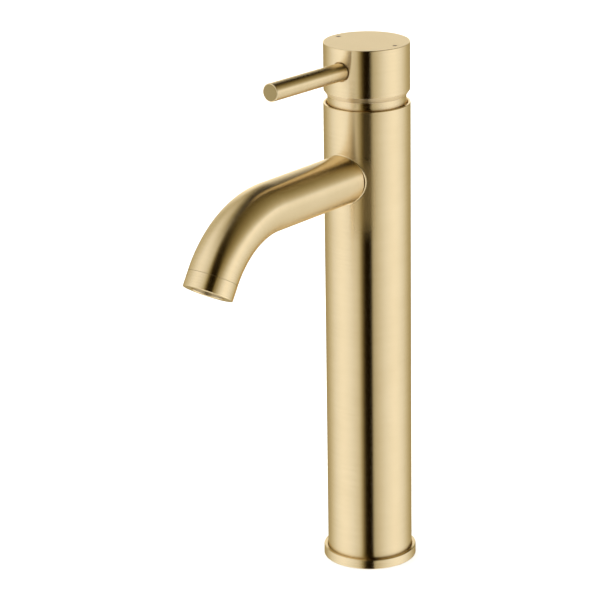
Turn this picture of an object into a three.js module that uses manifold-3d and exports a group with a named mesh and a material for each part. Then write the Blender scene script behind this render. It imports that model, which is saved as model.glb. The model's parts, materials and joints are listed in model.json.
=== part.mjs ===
// Tall single-lever basin mixer: column, bent spout, pin-lever handle and the parts inside.
// Millimetres, +Z up. The origin is the centre of the base where it meets the worktop.
// The spout and the lever point towards -Y. Hot is on the -X side and cold on the +X side.
import * as THREE from "three";
import { mergeVertices } from "three/addons/utils/BufferGeometryUtils.js";
import Module from "manifold-3d";

const wasm = await Module();
wasm.setup();

// ---- Driving dimensions -----------------------------------------------------------------------

const GAP = 0.3; // clearance between pieces that touch on the real mixer
const TOTAL_HEIGHT = 301.5;

const COLUMN_R = 24;
const COLUMN_TOP = 267.6;
const COLUMN_WALL = 2.5;
const BORE_R = COLUMN_R - COLUMN_WALL;

const BASE_RING_R = 26.3;
const BASE_RING_HEIGHT = 5.5;
const BASE_WEB = 2.4; // floor of the base ring, under the column
const BASE_WEB_HOLE_R = 17;
const BASE_PLATE_TOP = 14.7;

const SPOUT_AXIS_HEIGHT = 228.4;
const SPOUT_R = 13.75;
const SPOUT_WALL = 2.25;
const SPOUT_STRAIGHT = 86.8; // from the column's axis to where the bend starts
const SPOUT_BEND_R = 55.5;
const SPOUT_BEND = THREE.MathUtils.degToRad(59);
const SPOUT_END = 8.8; // straight stretch after the bend

const AERATOR_SLEEVE = 8.5; // visible length of the aerator housing
const AERATOR_SPIGOT = 6;

const HANDLE_R = 23.8;
const NECK_R = 21.7;
const NECK_WALL = 1.3;
const NECK_LIFT = 0.5; // gap between the column's top and the neck
const NECK_TOP = 272;
const CHAMFER_TOP = 275;
const HANDLE_CEILING = 279;

const LEVER_HEIGHT = 288.5; // of its axis, where it crosses the column's axis
const LEVER_RISE = THREE.MathUtils.degToRad(1.2); // above level, towards its tip
const LEVER_R = 5;
const LEVER_HOLE_R = 5.6; // spotface round the lever in the handle
const LEVER_TIP = 84.2; // from the column's axis
const LEVER_SEAT = 21.5; // flat seat of the lever in the handle, from the axis
const LEVER_THREAD_R = 3;
const LEVER_THREAD_END = 9.5;

const PIVOT_HEIGHT = 269.6; // the lever tilts about this height, on the column's axis
const CARTRIDGE_SEAT = 239;
const CARTRIDGE_R = 17.5;

// Water ports, as [x, y, radius]
const HOT_PORT = [-8, 4, 2.8];
const COLD_PORT = [8, 4, 2.8];
const OUTLET_PORT = [0, -8, 3.4];
const INLET_THREAD_R = 4.5; // M10 x 1 hose tails
const STUD_THREAD_R = 3.4; // M8 fixing stud
const STUD_Y = -11;

const FINE = 40; // sides of the large round pieces
const PLAIN = 24; // sides of the cartridge and other inner pieces
const SMALL = 16; // sides of ports, screws and pins

// ---- Materials --------------------------------------------------------------------------------

function finish(color, roughness, metalness) {
  return new THREE.MeshStandardMaterial({ color, roughness, metalness });
}

const BRUSHED_BRASS = finish(0xc9a568, 0.38, 1);
const RAW_BRASS = finish(0xb08d4a, 0.5, 1);
const STEEL = finish(0xb9bcc0, 0.35, 1);
const RUBBER = finish(0x1c1c1e, 0.85, 0);
const WHITE_PLASTIC = finish(0xe4e2da, 0.55, 0);
const GREY_PLASTIC = finish(0x8d9094, 0.5, 0);
const CERAMIC = finish(0xf2efe8, 0.25, 0);
const DARK_ENAMEL = finish(0x231d16, 0.4, 0);

// ---- Shape helpers ----------------------------------------------------------------------------

// A closed three.js geometry as a solid, without the flat triangles that lie on a lathe's axis.
function solidOf(geometry) {
  const bare = geometry.clone();
  bare.deleteAttribute("normal");
  bare.deleteAttribute("uv");
  const merged = mergeVertices(bare, 1e-4);
  const corners = merged.index.array;
  const kept = [];
  for (let i = 0; i < corners.length; i += 3) {
    const [a, b, c] = corners.slice(i, i + 3);
    if (a !== b && b !== c && c !== a) kept.push(a, b, c);
  }
  const vertProperties = merged.attributes.position.array;
  const triVerts = new Uint32Array(kept);
  return new wasm.Manifold(new wasm.Mesh({ numProp: 3, vertProperties, triVerts }));
}

// A solid of revolution about +Z. The outline is a list of [radius, height], anticlockwise in the
// half plane with radius to the right. It closes on itself unless both its ends are on the axis.
function latheGeometry(outline, sides) {
  const points = outline.map(([radius, height]) => new THREE.Vector2(radius, height));
  const onAxis = outline[0][0] === 0 && outline.at(-1)[0] === 0;
  if (!onAxis) points.push(points[0].clone());
  return new THREE.LatheGeometry(points, sides).rotateX(Math.PI / 2);
}

function turned(outline, sides) {
  return solidOf(latheGeometry(outline, sides));
}

// The same, with the axis along a direction from a point.
function turnedAlong(outline, sides, origin, direction) {
  const turn = new THREE.Quaternion().setFromUnitVectors(new THREE.Vector3(0, 0, 1), direction);
  const geometry = latheGeometry(outline, sides).applyQuaternion(turn);
  return solidOf(geometry.translate(origin.x, origin.y, origin.z));
}

function discOutline(radius, bottom, top) {
  return [[0, bottom], [radius, bottom], [radius, top], [0, top]];
}

function ringOutline(innerR, outerR, bottom, top) {
  return [[innerR, bottom], [outerR, bottom], [outerR, top], [innerR, top]];
}

// A vertical round bar, used as a pin or to cut a hole.
function bar(x, y, radius, bottom, top, sides = SMALL) {
  const geometry = latheGeometry(discOutline(radius, bottom, top), sides);
  return solidOf(geometry.translate(x, y, 0));
}

// A round bar from one point towards a direction.
function barAlong(origin, direction, radius, length, sides = SMALL) {
  return turnedAlong(discOutline(radius, 0, length), sides, origin, direction);
}

// A block between two corners.
function block(low, high) {
  const size = high.map((value, i) => value - low[i]);
  const centre = high.map((value, i) => (value + low[i]) / 2);
  return solidOf(new THREE.BoxGeometry(...size).translate(...centre));
}

function cut(solid, ...tools) {
  return tools.reduce((left, tool) => left.subtract(tool), solid);
}

function joined(...solids) {
  return solids.reduce((left, right) => left.add(right));
}

function part(name, solid, material) {
  const { vertProperties, triVerts } = solid.getMesh();
  const geometry = new THREE.BufferGeometry();
  geometry.setAttribute("position", new THREE.BufferAttribute(vertProperties, 3));
  geometry.setIndex(new THREE.BufferAttribute(triVerts, 1));
  geometry.computeVertexNormals();
  const mesh = new THREE.Mesh(geometry, material);
  mesh.name = name;
  return mesh;
}

function group(...children) {
  const made = new THREE.Group();
  made.add(...children);
  return made;
}

const TOWARDS_USER = new THREE.Vector3(0, -1, 0);
const AWAY_FROM_USER = new THREE.Vector3(0, 1, 0);
const TOWARDS_COLD = new THREE.Vector3(1, 0, 0);

function onAxis(height, y = 0, x = 0) {
  return new THREE.Vector3(x, y, height);
}

// ---- Base -------------------------------------------------------------------------------------

const GASKET = { innerR: 21.4, outerR: 24.4, height: 1.4 };

function baseRing() {
  const edge = 0.6; // rounded top edge
  const seatR = COLUMN_R + GAP;
  const outline = [
    [BASE_WEB_HOLE_R, 0],
    [BASE_RING_R - edge / 2, 0],
    [BASE_RING_R, edge / 2],
    [BASE_RING_R, BASE_RING_HEIGHT - edge],
    [BASE_RING_R - edge * 0.3, BASE_RING_HEIGHT - edge * 0.3],
    [BASE_RING_R - edge, BASE_RING_HEIGHT],
    [seatR, BASE_RING_HEIGHT],
    [seatR, BASE_WEB],
    [BASE_WEB_HOLE_R, BASE_WEB],
  ];
  const groove = ringOutline(GASKET.innerR - GAP, GASKET.outerR + GAP, -1, GASKET.height + GAP);
  return part("base_ring", cut(turned(outline, FINE), turned(groove, FINE)), BRUSHED_BRASS);
}

function baseGasket() {
  const outline = ringOutline(GASKET.innerR, GASKET.outerR, 0, GASKET.height);
  return part("base_gasket", turned(outline, FINE), RUBBER);
}

// Height where the narrow waterway of the base plate starts and ends.
const INLET_DEPTH = 9;
const TUBE_SOCKET = 11;
const TUBE_R = 4;
const TUBE_BORE_R = 3;

function basePlate() {
  const outline = [
    [0, 0],
    [BASE_WEB_HOLE_R - GAP, 0],
    [BASE_WEB_HOLE_R - GAP, BASE_WEB + GAP],
    [BORE_R - GAP, BASE_WEB + GAP],
    [BORE_R - GAP, BASE_PLATE_TOP],
    [0, BASE_PLATE_TOP],
  ];
  const holes = [bar(0, STUD_Y, STUD_THREAD_R, -1, TUBE_SOCKET)];
  for (const [x, y, portR] of [HOT_PORT, COLD_PORT]) {
    holes.push(bar(x, y, INLET_THREAD_R, -1, INLET_DEPTH));
    holes.push(bar(x, y, portR, -1, BASE_PLATE_TOP + 1));
    holes.push(bar(x, y, TUBE_R + GAP, TUBE_SOCKET, BASE_PLATE_TOP + 1));
  }
  return part("base_plate", cut(turned(outline, PLAIN), ...holes), RAW_BRASS);
}

// ---- Column and waterways ---------------------------------------------------------------------

const MOUTH = { r: 22.3, depth: 2.6, bevel: 0.9 };

function bodyColumn() {
  const foot = BASE_WEB + GAP;
  const outline = [
    [BORE_R, foot],
    [COLUMN_R, foot],
    [COLUMN_R, COLUMN_TOP],
    [MOUTH.r + MOUTH.bevel, COLUMN_TOP],
    [MOUTH.r, COLUMN_TOP - MOUTH.bevel],
    [MOUTH.r, COLUMN_TOP - MOUTH.depth],
    [BORE_R, COLUMN_TOP - MOUTH.depth - 1],
  ];
  const spoutHole = barAlong(onAxis(SPOUT_AXIS_HEIGHT), TOWARDS_USER, SPOUT_R + GAP, 2 * COLUMN_R, PLAIN);
  return part("body_column", cut(turned(outline, FINE), spoutHole), BRUSHED_BRASS);
}

const MANIFOLD_BOTTOM = 206;
const MANIFOLD_TOP = 256.5;
const NUT_THREAD = { bottom: 250.3, r: 19.6 };
const OUTLET_BORE_R = 8.3;
const RISER_SOCKET_TOP = 214;

function valveManifold() {
  const cartridgeBoreR = CARTRIDGE_R + GAP;
  const outline = [
    [0, MANIFOLD_BOTTOM],
    [BORE_R - GAP, MANIFOLD_BOTTOM],
    [BORE_R - GAP, MANIFOLD_TOP],
    [NUT_THREAD.r, MANIFOLD_TOP],
    [NUT_THREAD.r, NUT_THREAD.bottom],
    [cartridgeBoreR, NUT_THREAD.bottom],
    [cartridgeBoreR, CARTRIDGE_SEAT],
    [0, CARTRIDGE_SEAT],
  ];
  const [outletX, outletY, outletR] = OUTLET_PORT;
  const holes = [
    bar(outletX, outletY, outletR, SPOUT_AXIS_HEIGHT, CARTRIDGE_SEAT + 1),
    barAlong(onAxis(SPOUT_AXIS_HEIGHT, outletY + outletR), TOWARDS_USER, OUTLET_BORE_R, 2 * COLUMN_R, PLAIN),
  ];
  for (const [x, y, portR] of [HOT_PORT, COLD_PORT]) {
    holes.push(bar(x, y, portR, MANIFOLD_BOTTOM - 1, CARTRIDGE_SEAT + 1));
    holes.push(bar(x, y, TUBE_R + 2 * TUBE_SEAL_THICKNESS, MANIFOLD_BOTTOM - 1, TUBE_SEAL_TOP + GAP));
    holes.push(bar(x, y, TUBE_R + GAP, MANIFOLD_BOTTOM - 1, RISER_SOCKET_TOP));
  }
  return part("valve_manifold", cut(turned(outline, PLAIN), ...holes), RAW_BRASS);
}

const TUBE_SEAL_THICKNESS = 1;
const TUBE_SEAL_TOP = MANIFOLD_BOTTOM + 2;

function supplyTube(name, [x, y]) {
  const outline = ringOutline(TUBE_BORE_R, TUBE_R, TUBE_SOCKET + GAP, RISER_SOCKET_TOP - GAP);
  const geometry = latheGeometry(outline, SMALL).translate(x, y, 0);
  return part(name, solidOf(geometry), RAW_BRASS);
}

function tubeSeal(name, [x, y]) {
  const outerR = TUBE_R + 2 * TUBE_SEAL_THICKNESS - GAP;
  const outline = ringOutline(TUBE_R + GAP, outerR, MANIFOLD_BOTTOM, TUBE_SEAL_TOP);
  const geometry = latheGeometry(outline, SMALL).translate(x, y, 0);
  return part(name, solidOf(geometry), RUBBER);
}

// ---- Spout ------------------------------------------------------------------------------------

// The spout's centre line: level from the column's axis, then an arc down, then straight.
class SpoutLine extends THREE.Curve {
  constructor(endTrim) {
    super();
    this.arcLength = SPOUT_BEND_R * SPOUT_BEND;
    this.total = SPOUT_STRAIGHT + this.arcLength + SPOUT_END - endTrim;
  }

  getPoint(t, target = new THREE.Vector3()) {
    const along = t * this.total;
    const bent = THREE.MathUtils.clamp((along - SPOUT_STRAIGHT) / SPOUT_BEND_R, 0, SPOUT_BEND);
    const level = Math.min(along, SPOUT_STRAIGHT) + SPOUT_BEND_R * Math.sin(bent);
    const drop = SPOUT_BEND_R * (1 - Math.cos(bent));
    const past = Math.max(0, along - SPOUT_STRAIGHT - this.arcLength);
    return target.set(
      0,
      -level - past * Math.cos(SPOUT_BEND),
      SPOUT_AXIS_HEIGHT - drop - past * Math.sin(SPOUT_BEND),
    );
  }
}

const SPOUT_TIP = new SpoutLine(0).getPoint(1);
const OUTLET_DIRECTION = new THREE.Vector3(0, -Math.cos(SPOUT_BEND), -Math.sin(SPOUT_BEND));
const SPOUT_BORE_R = SPOUT_R - SPOUT_WALL;

function spoutTube() {
  const section = new THREE.Shape();
  section.absarc(0, 0, SPOUT_R, 0, 2 * Math.PI);
  const bore = new THREE.Path();
  bore.absarc(0, 0, SPOUT_BORE_R, 0, 2 * Math.PI, true);
  section.holes.push(bore);
  const extrudePath = new SpoutLine(AERATOR_SLEEVE + GAP);
  const tube = new THREE.ExtrudeGeometry(section, { extrudePath, steps: 20, curveSegments: PLAIN / 2 });
  const columnBore = turned(discOutline(BORE_R, 0, COLUMN_TOP), FINE);
  return part("spout_tube", cut(solidOf(tube), columnBore), BRUSHED_BRASS);
}

// Sleeve that carries water from the manifold through the column's wall into the spout.
const NIPPLE = { inner: 10, shoulder: 22.6, outer: 33, boreR: 6.5 };
const NIPPLE_GROOVE = { start: 26.5, end: 29.3, r: 9.6 };

function outletNipple() {
  const headR = SPOUT_BORE_R - GAP;
  const stemR = OUTLET_BORE_R - GAP;
  const outline = [
    [NIPPLE.boreR, NIPPLE.inner],
    [stemR, NIPPLE.inner],
    [stemR, NIPPLE.shoulder],
    [headR, NIPPLE.shoulder],
    [headR, NIPPLE_GROOVE.start],
    [NIPPLE_GROOVE.r, NIPPLE_GROOVE.start],
    [NIPPLE_GROOVE.r, NIPPLE_GROOVE.end],
    [headR, NIPPLE_GROOVE.end],
    [headR, NIPPLE.outer],
    [NIPPLE.boreR, NIPPLE.outer],
  ];
  const solid = turnedAlong(outline, PLAIN, onAxis(SPOUT_AXIS_HEIGHT), TOWARDS_USER);
  return part("outlet_nipple", solid, RAW_BRASS);
}

function nippleSeal() {
  const { start, end, r } = NIPPLE_GROOVE;
  const outline = ringOutline(r + GAP, SPOUT_BORE_R - GAP, start + GAP, end - GAP);
  const solid = turnedAlong(outline, PLAIN, onAxis(SPOUT_AXIS_HEIGHT), TOWARDS_USER);
  return part("nipple_seal", solid, RUBBER);
}

// The aerator's pieces are turned about +Z, which runs upstream from the spout's tip at z = 0.
const AERATOR_BORE_R = 9.9;
const AERATOR_LIP = { r: 9, height: 2.2 };
const INSERT_TOP = 9.5;

function aeratorHousing() {
  const bevel = 0.4;
  const spigotR = SPOUT_BORE_R - 2 * GAP;
  const top = AERATOR_SLEEVE + AERATOR_SPIGOT;
  const outline = [
    [AERATOR_LIP.r, 0],
    [SPOUT_R - bevel, 0],
    [SPOUT_R, bevel],
    [SPOUT_R, AERATOR_SLEEVE],
    [spigotR, AERATOR_SLEEVE],
    [spigotR, top],
    [AERATOR_BORE_R, top],
    [AERATOR_BORE_R, AERATOR_LIP.height],
    [AERATOR_LIP.r, AERATOR_LIP.height],
  ];
  return part("aerator_housing", turned(outline, PLAIN), BRUSHED_BRASS);
}

function aeratorInsert() {
  const bodyR = AERATOR_LIP.r - GAP;
  const bottom = 0.9;
  const rimR = AERATOR_BORE_R - GAP;
  const outline = [
    [0, bottom],
    [bodyR, bottom],
    [bodyR, AERATOR_LIP.height + GAP],
    [rimR, AERATOR_LIP.height + GAP],
    [rimR, INSERT_TOP],
    [0, INSERT_TOP],
  ];
  const holeR = 0.95;
  const pitch = 3.1;
  const holes = [];
  // Three rings of small holes round a centre hole.
  for (const [ring, count] of [[0, 1], [1, 6], [2, 12]]) {
    for (let i = 0; i < count; i += 1) {
      const angle = (2 * Math.PI * i) / count;
      const radius = ring * pitch;
      const x = radius * Math.cos(angle);
      const y = radius * Math.sin(angle);
      holes.push(bar(x, y, holeR, 0, INSERT_TOP + 1, 6));
    }
  }
  return part("aerator_insert", cut(turned(outline, PLAIN), ...holes), GREY_PLASTIC);
}

function aeratorWasher() {
  const outline = ringOutline(7, AERATOR_BORE_R - GAP, INSERT_TOP + GAP, INSERT_TOP + 2.4);
  return part("aerator_washer", turned(outline, PLAIN), RUBBER);
}

function aerator() {
  const made = group(aeratorHousing(), aeratorInsert(), aeratorWasher());
  const upstream = OUTLET_DIRECTION.clone().negate();
  made.quaternion.setFromUnitVectors(new THREE.Vector3(0, 0, 1), upstream);
  made.position.copy(SPOUT_TIP);
  return made;
}

// ---- Cartridge, from its seat upwards ---------------------------------------------------------

const PORT_SEAL = { thickness: 1.2, height: 1.6 };
const CARTRIDGE_BASE_TOP = CARTRIDGE_SEAT + 6;
const DISC_HEIGHT = 3;
const FIXED_DISC_BOTTOM = CARTRIDGE_BASE_TOP + GAP;
const MOVING_DISC_BOTTOM = FIXED_DISC_BOTTOM + DISC_HEIGHT + GAP;
const CARRIER_BOTTOM = MOVING_DISC_BOTTOM + DISC_HEIGHT + GAP;
const CARRIER_TOP = CARRIER_BOTTOM + 4;
const FIXED_DISC_R = 14.5;
const MOVING_DISC_R = 12;
const DISC_TRAVEL = 3.5; // from shut to fully open
const DISC_OFFSET = DISC_TRAVEL / 2; // the shut disc sits this far from the axis

function portSeal(name, [x, y, portR]) {
  const bottom = CARTRIDGE_SEAT + GAP;
  const outline = ringOutline(portR, portR + PORT_SEAL.thickness, bottom, bottom + PORT_SEAL.height);
  const geometry = latheGeometry(outline, SMALL).translate(x, y, 0);
  return part(name, solidOf(geometry), RUBBER);
}

function portHoles(bottom, top) {
  return [HOT_PORT, COLD_PORT, OUTLET_PORT].map(([x, y, r]) => bar(x, y, r, bottom, top));
}

function cartridgeBase() {
  const bottom = CARTRIDGE_SEAT + 1;
  const recessTop = CARTRIDGE_SEAT + PORT_SEAL.height + 2 * GAP;
  const recesses = [HOT_PORT, COLD_PORT, OUTLET_PORT].map(([x, y, r]) =>
    bar(x, y, r + PORT_SEAL.thickness + GAP, bottom - 1, recessTop),
  );
  const base = turned(discOutline(CARTRIDGE_R - GAP, bottom, CARTRIDGE_BASE_TOP), PLAIN);
  const holes = portHoles(bottom - 1, CARTRIDGE_BASE_TOP + 1);
  return part("cartridge_base", cut(base, ...recesses, ...holes), WHITE_PLASTIC);
}

function fixedDisc() {
  const top = FIXED_DISC_BOTTOM + DISC_HEIGHT;
  const disc = turned(discOutline(FIXED_DISC_R, FIXED_DISC_BOTTOM, top), PLAIN);
  return part("fixed_ceramic_disc", cut(disc, ...portHoles(FIXED_DISC_BOTTOM - 1, top + 1)), CERAMIC);
}

// The moving disc has a mixing chamber in its underside, which joins the ports when it slides.
function movingDisc() {
  const top = MOVING_DISC_BOTTOM + DISC_HEIGHT;
  const disc = bar(0, DISC_OFFSET, MOVING_DISC_R, MOVING_DISC_BOTTOM, top, PLAIN);
  const chamber = bar(0, DISC_OFFSET, MOVING_DISC_R / 2, MOVING_DISC_BOTTOM - 1, top - 1.2, PLAIN);
  return part("moving_ceramic_disc", cut(disc, chamber), CERAMIC);
}

const BALL_R = 2.2;
const POCKET_FLOOR = 0.7;
const BALL_HEIGHT = CARRIER_BOTTOM + POCKET_FLOOR + GAP + BALL_R; // centre of the stem's ball end

function discCarrier() {
  const carrier = bar(0, DISC_OFFSET, MOVING_DISC_R, CARRIER_BOTTOM, CARRIER_TOP, PLAIN);
  const pocket = bar(0, 0, BALL_R + 2 * GAP, CARRIER_BOTTOM + POCKET_FLOOR, CARRIER_TOP + 1);
  return part("disc_carrier", cut(carrier, pocket), GREY_PLASTIC);
}

const ROTOR_FLANGE = { r: 14.8, bottom: CARRIER_TOP + GAP, height: 2.2 };
const ROTOR_R = 11.1;
const ROTOR_TOP = 273;
const SHOULDER_BOTTOM = ROTOR_FLANGE.bottom + ROTOR_FLANGE.height + 1.2;
const SHOULDER_TOP = SHOULDER_BOTTOM + 2.2;
const DOME = { wall: 2, top: SHOULDER_TOP + 6 };

function cartridgeHousing() {
  const innerR = ROTOR_FLANGE.r + 0.5;
  const domeR = ROTOR_R + GAP;
  const outline = [
    [innerR, FIXED_DISC_BOTTOM],
    [CARTRIDGE_R, FIXED_DISC_BOTTOM],
    [CARTRIDGE_R, SHOULDER_TOP],
    [domeR + DOME.wall, SHOULDER_TOP],
    [domeR + DOME.wall, DOME.top],
    [domeR, DOME.top],
    [domeR, SHOULDER_BOTTOM],
    [innerR, SHOULDER_BOTTOM],
  ];
  return part("cartridge_housing", turned(outline, PLAIN), GREY_PLASTIC);
}

function thrustWasher() {
  const top = SHOULDER_BOTTOM - GAP;
  const outline = ringOutline(ROTOR_R + 2 * GAP, ROTOR_FLANGE.r - GAP, top - 0.6, top);
  return part("thrust_washer", turned(outline, PLAIN), WHITE_PLASTIC);
}

const STEM_HALF = 4; // half the width of the square stem
const PIN_R = 1.4;
const PIN_HALF_LENGTH = ROTOR_R - GAP;

// The stem holder turns in the housing. The stem tilts in its slot, about a cross pin.
function stemHolder() {
  const flangeTop = ROTOR_FLANGE.bottom + ROTOR_FLANGE.height;
  const outline = [
    [0, ROTOR_FLANGE.bottom],
    [ROTOR_FLANGE.r, ROTOR_FLANGE.bottom],
    [ROTOR_FLANGE.r, flangeTop],
    [ROTOR_R, flangeTop],
    [ROTOR_R, ROTOR_TOP],
    [0, ROTOR_TOP],
  ];
  const slotHalfX = STEM_HALF + GAP;
  const slotHalfY = 9;
  const slot = block(
    [-slotHalfX, -slotHalfY, ROTOR_FLANGE.bottom - 1],
    [slotHalfX, slotHalfY, ROTOR_TOP + 1],
  );
  const pinHole = barAlong(onAxis(PIVOT_HEIGHT, 0, -20), TOWARDS_COLD, PIN_R + GAP, 40);
  return part("stem_holder", cut(turned(outline, PLAIN), slot, pinHole), GREY_PLASTIC);
}

function stemPin() {
  const start = onAxis(PIVOT_HEIGHT, 0, -PIN_HALF_LENGTH);
  return part("stem_pin", barAlong(start, TOWARDS_COLD, PIN_R, 2 * PIN_HALF_LENGTH), STEEL);
}

const STEM_TOP = 286.5;
const STEM_SHOULDER = PIVOT_HEIGHT - 5; // the stem is square above this and round below

function stem() {
  const square = block([-STEM_HALF, -STEM_HALF, STEM_SHOULDER], [STEM_HALF, STEM_HALF, STEM_TOP]);
  const rod = turned(discOutline(BALL_R - GAP, BALL_HEIGHT, STEM_SHOULDER + 1), SMALL);
  const ball = solidOf(new THREE.SphereGeometry(BALL_R, SMALL, 12).translate(0, 0, BALL_HEIGHT));
  const pinHole = barAlong(onAxis(PIVOT_HEIGHT, 0, -20), TOWARDS_COLD, PIN_R + GAP, 40);
  return part("stem", cut(joined(square, rod, ball), pinHole), RAW_BRASS);
}

function retainingNut() {
  const flangeBottom = SHOULDER_TOP + GAP;
  const flangeTop = flangeBottom + 2.9;
  const skirtR = NUT_THREAD.r - GAP;
  const innerR = CARTRIDGE_R + GAP;
  const headR = 18.6;
  const outline = [
    [innerR, NUT_THREAD.bottom + GAP],
    [skirtR, NUT_THREAD.bottom + GAP],
    [skirtR, flangeBottom - 2.7],
    [headR, flangeBottom - 0.7],
    [headR, flangeTop],
    [ROTOR_R + GAP + DOME.wall + GAP, flangeTop],
    [ROTOR_R + GAP + DOME.wall + GAP, flangeBottom],
    [innerR, flangeBottom],
  ];
  return part("retaining_nut", turned(outline, PLAIN), RAW_BRASS);
}

// ---- Handle -----------------------------------------------------------------------------------

const GRUB = { r: 2, height: 283, outer: 22.6, inner: STEM_HALF + 2 * GAP };
const MARK = { r: 0.95, fromAxis: 19.2, depth: 0.6 };
const LEVER_DIRECTION = new THREE.Vector3(0, -Math.cos(LEVER_RISE), Math.sin(LEVER_RISE));

function onLever(along) {
  return onAxis(LEVER_HEIGHT).addScaledVector(LEVER_DIRECTION, along);
}

function handleCap() {
  const edge = 0.35;
  const neckBottom = COLUMN_TOP + NECK_LIFT;
  const cavityR = NECK_R - NECK_WALL;
  const outline = [
    [cavityR, neckBottom],
    [NECK_R, neckBottom],
    [NECK_R, NECK_TOP],
    [HANDLE_R, CHAMFER_TOP],
    [HANDLE_R, TOTAL_HEIGHT - edge],
    [HANDLE_R - edge, TOTAL_HEIGHT],
    [0, TOTAL_HEIGHT],
    [0, HANDLE_CEILING],
    [cavityR, HANDLE_CEILING],
    [cavityR, neckBottom],
  ];
  const socketHalf = STEM_HALF + GAP;
  const socket = block(
    [-socketHalf, -socketHalf, HANDLE_CEILING - 1],
    [socketHalf, socketHalf, STEM_TOP + GAP],
  );
  const tools = [
    socket,
    barAlong(onLever(LEVER_SEAT), LEVER_DIRECTION, LEVER_HOLE_R, HANDLE_R, PLAIN),
    barAlong(onLever(LEVER_THREAD_END - GAP), LEVER_DIRECTION, LEVER_THREAD_R + GAP, HANDLE_R),
    barAlong(onAxis(GRUB.height), AWAY_FROM_USER, GRUB.r + GAP, 2 * HANDLE_R),
  ];
  for (const x of [-MARK.fromAxis, MARK.fromAxis]) {
    tools.push(bar(x, 0, MARK.r + GAP, TOTAL_HEIGHT - MARK.depth - GAP, TOTAL_HEIGHT + 1));
  }
  return part("handle_cap", cut(turned(outline, FINE), ...tools), BRUSHED_BRASS);
}

function leverRod() {
  const bevel = 0.45;
  const outline = [
    [0, LEVER_THREAD_END],
    [LEVER_THREAD_R, LEVER_THREAD_END],
    [LEVER_THREAD_R, LEVER_SEAT + GAP],
    [LEVER_R, LEVER_SEAT + GAP],
    [LEVER_R, LEVER_TIP - bevel],
    [LEVER_R - bevel, LEVER_TIP],
    [0, LEVER_TIP],
  ];
  const solid = turnedAlong(outline, PLAIN, onLever(0), LEVER_DIRECTION);
  return part("lever_rod", solid, BRUSHED_BRASS);
}

// Headless screw that clamps the handle to the stem, with a hexagon socket in its outer end.
function grubScrew() {
  const length = GRUB.outer - GRUB.inner;
  const screw = barAlong(onAxis(GRUB.height, GRUB.inner), AWAY_FROM_USER, GRUB.r, length);
  const socket = barAlong(onAxis(GRUB.height, GRUB.outer - 2), AWAY_FROM_USER, 1.15, 4, 6);
  return part("grub_screw", cut(screw, socket), STEEL);
}

function mark(name, x) {
  const bottom = TOTAL_HEIGHT - MARK.depth;
  return part(name, bar(x, 0, MARK.r, bottom, TOTAL_HEIGHT - 0.1), DARK_ENAMEL);
}

// ---- Assembly ---------------------------------------------------------------------------------

const base = group(baseRing(), baseGasket(), basePlate());

const waterways = group(
  valveManifold(),
  supplyTube("hot_supply_tube", HOT_PORT),
  supplyTube("cold_supply_tube", COLD_PORT),
  tubeSeal("hot_tube_seal", HOT_PORT),
  tubeSeal("cold_tube_seal", COLD_PORT),
  outletNipple(),
  nippleSeal(),
);

const fixedCartridge = group(
  portSeal("hot_port_seal", HOT_PORT),
  portSeal("cold_port_seal", COLD_PORT),
  portSeal("outlet_port_seal", OUTLET_PORT),
  cartridgeBase(),
  fixedDisc(),
  cartridgeHousing(),
  thrustWasher(),
  retainingNut(),
);

const slidingDisc = group(movingDisc(), discCarrier());

const rotor = group(stemHolder(), stemPin());

const handle = group(
  handleCap(),
  leverRod(),
  grubScrew(),
  stem(),
  mark("hot_mark", -MARK.fromAxis),
  mark("cold_mark", MARK.fromAxis),
);

const mixer = group(
  base,
  bodyColumn(),
  waterways,
  spoutTube(),
  aerator(),
  fixedCartridge,
  slidingDisc,
  rotor,
  handle,
);

export default mixer;
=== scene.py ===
"""Brushed-brass basin mixer: fine meshes, materials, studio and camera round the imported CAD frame.

Metres, +Z up. The spout and the lever point towards -Y, and the base stands on z = 0.
"""
import json
import math

import bmesh
import bpy
from mathutils import Matrix, Vector


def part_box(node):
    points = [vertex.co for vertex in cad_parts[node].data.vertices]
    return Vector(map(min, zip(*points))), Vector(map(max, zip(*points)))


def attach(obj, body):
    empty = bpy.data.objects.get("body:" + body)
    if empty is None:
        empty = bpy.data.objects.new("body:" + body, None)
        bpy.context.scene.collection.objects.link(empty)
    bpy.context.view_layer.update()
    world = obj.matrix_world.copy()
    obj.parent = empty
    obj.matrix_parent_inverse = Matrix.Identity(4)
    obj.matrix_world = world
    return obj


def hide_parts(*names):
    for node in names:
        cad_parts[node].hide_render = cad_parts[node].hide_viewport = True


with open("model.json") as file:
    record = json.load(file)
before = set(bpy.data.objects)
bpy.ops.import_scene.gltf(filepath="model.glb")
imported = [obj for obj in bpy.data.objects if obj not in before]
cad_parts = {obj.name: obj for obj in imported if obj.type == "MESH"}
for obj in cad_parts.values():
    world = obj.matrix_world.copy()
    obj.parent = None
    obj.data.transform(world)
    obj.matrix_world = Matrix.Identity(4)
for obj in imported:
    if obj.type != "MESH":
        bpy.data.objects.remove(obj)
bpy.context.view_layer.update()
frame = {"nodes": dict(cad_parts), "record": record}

MM = 0.001
UP = Vector((0, 0, 1))
TOWARDS_USER = Vector((0, -1, 0))

FINE_SIDES = 256
PLAIN_SIDES = 128
SMALL_SIDES = 48
FILLET_STEPS = 5
SHARP_ANGLE = math.radians(35)
TINY = 0.001 * MM  # heights nearer to each other than this count as the same

# ---- Sizes from the frame ---------------------------------------------------------------------

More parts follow.
